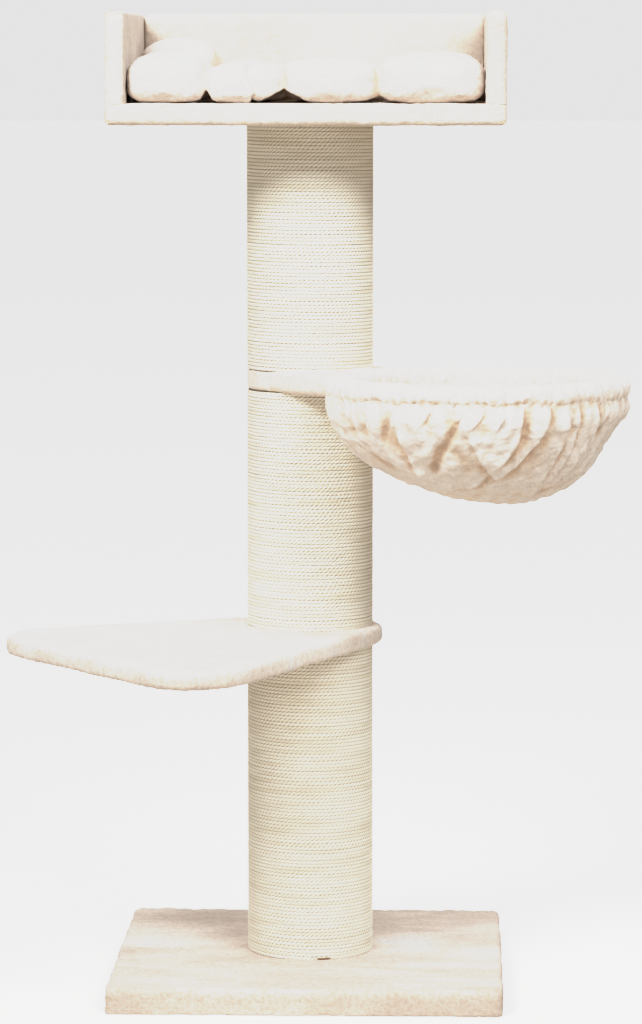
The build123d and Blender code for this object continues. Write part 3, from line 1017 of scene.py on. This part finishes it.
def cushion(material):
    """A quilted cushion of puffed cells, four uneven columns by three rows, filled until it is taut."""
    low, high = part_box("cushion_cover")
    wide = high.x - low.x
    seams = [low.x + wide * share for share in (0, 0.220, 0.438, 0.700, 1)]
    ranks = [low.y + (high.y - low.y) * share for share in (0, 0.34, 0.67, 1)]
    heights = ((0.077, 0.061, 0.069, 0.077), (0.072, 0.058, 0.060, 0.066), (0.100, 0.064, 0.066, 0.076))
    lap = 0.003
    points, faces, count = [], [], 0
    for j in range(3):
        for i in range(4):
            corner = (max(seams[i] - lap, low.x), max(ranks[j] - lap, low.y), low.z + 0.0015)
            other = (min(seams[i + 1] + lap, high.x), min(ranks[j + 1] + lap, high.y), low.z + heights[j][i])
            cell, sides = lobe(corner, other)
            points.append(cell)
            faces.append(sides + count)
            count += len(cell)
    made = piece("cushion_plush", np.vstack(points), np.vstack(faces), material, "cushion",
                 ["cushion_cover", "cushion_filling"])
    remesh(made, 0.005)
    inflate(made, 4, 20, 0.022, np.where(seam_distance(made, seams, ranks) < 0.004, 1.0, 0.0))
    smooth = made.modifiers.new("smooth", "SUBSURF")
    smooth.levels = 1
    smooth.render_levels = 1
    settle(made)
    rumple(made, seams, ranks, low)
    # Painted shade along the seams, through the fold attribute.
    store(made.data, "fold", 0.6 - 0.5 * np.exp(-(seam_distance(made, seams, ranks) / 0.007) ** 2))
    nap(made, 0.0006, 0.0005, 61)
    return made


def seam_distance(made, seams, ranks):
    """How far each point lies, seen from above, from the nearest inner seam."""
    place = mesh_points(made.data)
    across = np.min([np.abs(place[:, 0] - seam) for seam in seams[1:-1]], 0)
    deep = np.min([np.abs(place[:, 1] - rank) for rank in ranks[1:-1]], 0)
    return np.minimum(across, deep)


def rumple(made, seams, ranks, low):
    """Short creases that run out from the seams, a long crease in the second cell, and two gaps under the
    front, where a seam lifts the cover off the floor."""
    place = mesh_points(made.data)
    near = np.exp(-(seam_distance(made, seams, ranks) / 0.030) ** 2)
    upper = np.clip((place[:, 2] - low.z - 0.02) / 0.02, 0, 1)
    creases = 0.0024 * near * ripple(place * (1, 0.35, 0.8), 0.018, 66)
    rise = (creases + 0.0012 * ripple(place, 0.032, 67)) * upper
    bend = seams[1] + 0.067 + 0.006 * np.sin((place[:, 2] - low.z) / 0.011)
    beyond = (place[:, 0] - bend) / 0.010
    crease = np.where(beyond > 0, -np.exp(-beyond), 0.25 * np.exp(-((beyond + 0.6) / 0.8) ** 2))
    rise += 0.0075 * crease * np.clip((low.y + 0.10 - place[:, 1]) / 0.05, 0, 1)
    place += vertex_normals(made.data) * rise[:, None]
    middle = (seams[0] + seams[-1]) / 2
    place[:, 0] = middle + 1.013 * (place[:, 0] - middle)
    front = np.clip((low.y + 0.15 - place[:, 1]) / 0.05, 0, 1)
    for seam, tall, half in ((seams[1], 0.022, 0.017), (seams[2], 0.023, 0.048)):
        lifted = tall * np.clip(1 - np.abs(place[:, 0] - seam) / half, 0, 1) ** 1.2 * front
        place[:, 2] = np.maximum(place[:, 2], low.z + lifted)
    move_points(made.data, place)


# ---------------------------------------------------------------- the whole tree

def dress_cad(name, material):
    mesh = nodes[name].data
    mesh.materials.clear()
    mesh.materials.append(material)


def main():
    make_camera()
    make_floor()
    set_film()
    make_light()

    # Painted light and shade: the six plush materials stand for one cream fabric; the box's and the base's
    # copies are darker, the bag's and the quilt's lighter, and the shelf's spans both.
    plush = plush_material("cream_plush", (0.87, 0.755, 0.67), (0.78, 0.655, 0.57), (1, 2.2, 1))
    walls = plush_material("box_plush", (0.84, 0.74, 0.65), (0.76, 0.645, 0.55), (1, 2.2, 1), lies=True)
    shelf = plush_material("shelf_plush", (0.89, 0.79, 0.71), (0.72, 0.61, 0.53), (1, 2.2, 1),
                           lies=True, coarse=1)
    shaded_base = plush_material("shaded_base_plush", (0.86, 0.735, 0.65), (0.64, 0.525, 0.445), (0.7, 3.0, 1), 7,
                             lies=True, coarse=1)
    bag = plush_material("bag_plush", (0.93, 0.84, 0.77), (0.86, 0.765, 0.69), crease=1.0)
    quilt = plush_material("quilt_plush", (0.92, 0.83, 0.77), (0.85, 0.75, 0.68), (1, 2.2, 1), crease=1)
    sisal = sisal_material()
    dressing = {
        "wood_board": wood_material(),
        "cardboard_tube": cardboard_material(),
        "zinc_steel": steel_material(),
        "black_felt": felt_material(),
        "fibre_filling": fibre_material("fibre_filling", (0.88, 0.88, 0.86), (0.66, 0.66, 0.65), 300),
        "white_elastic": fibre_material("white_elastic", (0.80, 0.79, 0.76), (0.52, 0.51, 0.49), 900),
    }
    for part in frame["record"]["subparts"]:
        if part["material_slot"] in dressing:
            dress_cad(part["node"], dressing[part["material_slot"]])

    for seed, (name, bands) in enumerate((("lower_post", 3), ("middle_post", 2), ("upper_post", 2))):
        low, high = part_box(f"{name}_sisal")
        wind_post(name, low.z, high.z, high.x, bands, sisal, seed + 1)

    # The rope's end is given a plain dark brown.
    rope_end(fibre_material("dark_brown_rope", (0.34, 0.20, 0.11), (0.16, 0.09, 0.05), 500))
    base_skin(shaded_base)
    platform_skin(shelf)
    box_skins(walls)
    arm_skin(plush)
    elastic(dressing["white_elastic"])
    band = hem(bag)
    pouch(bag)
    cushion(quilt)


main()
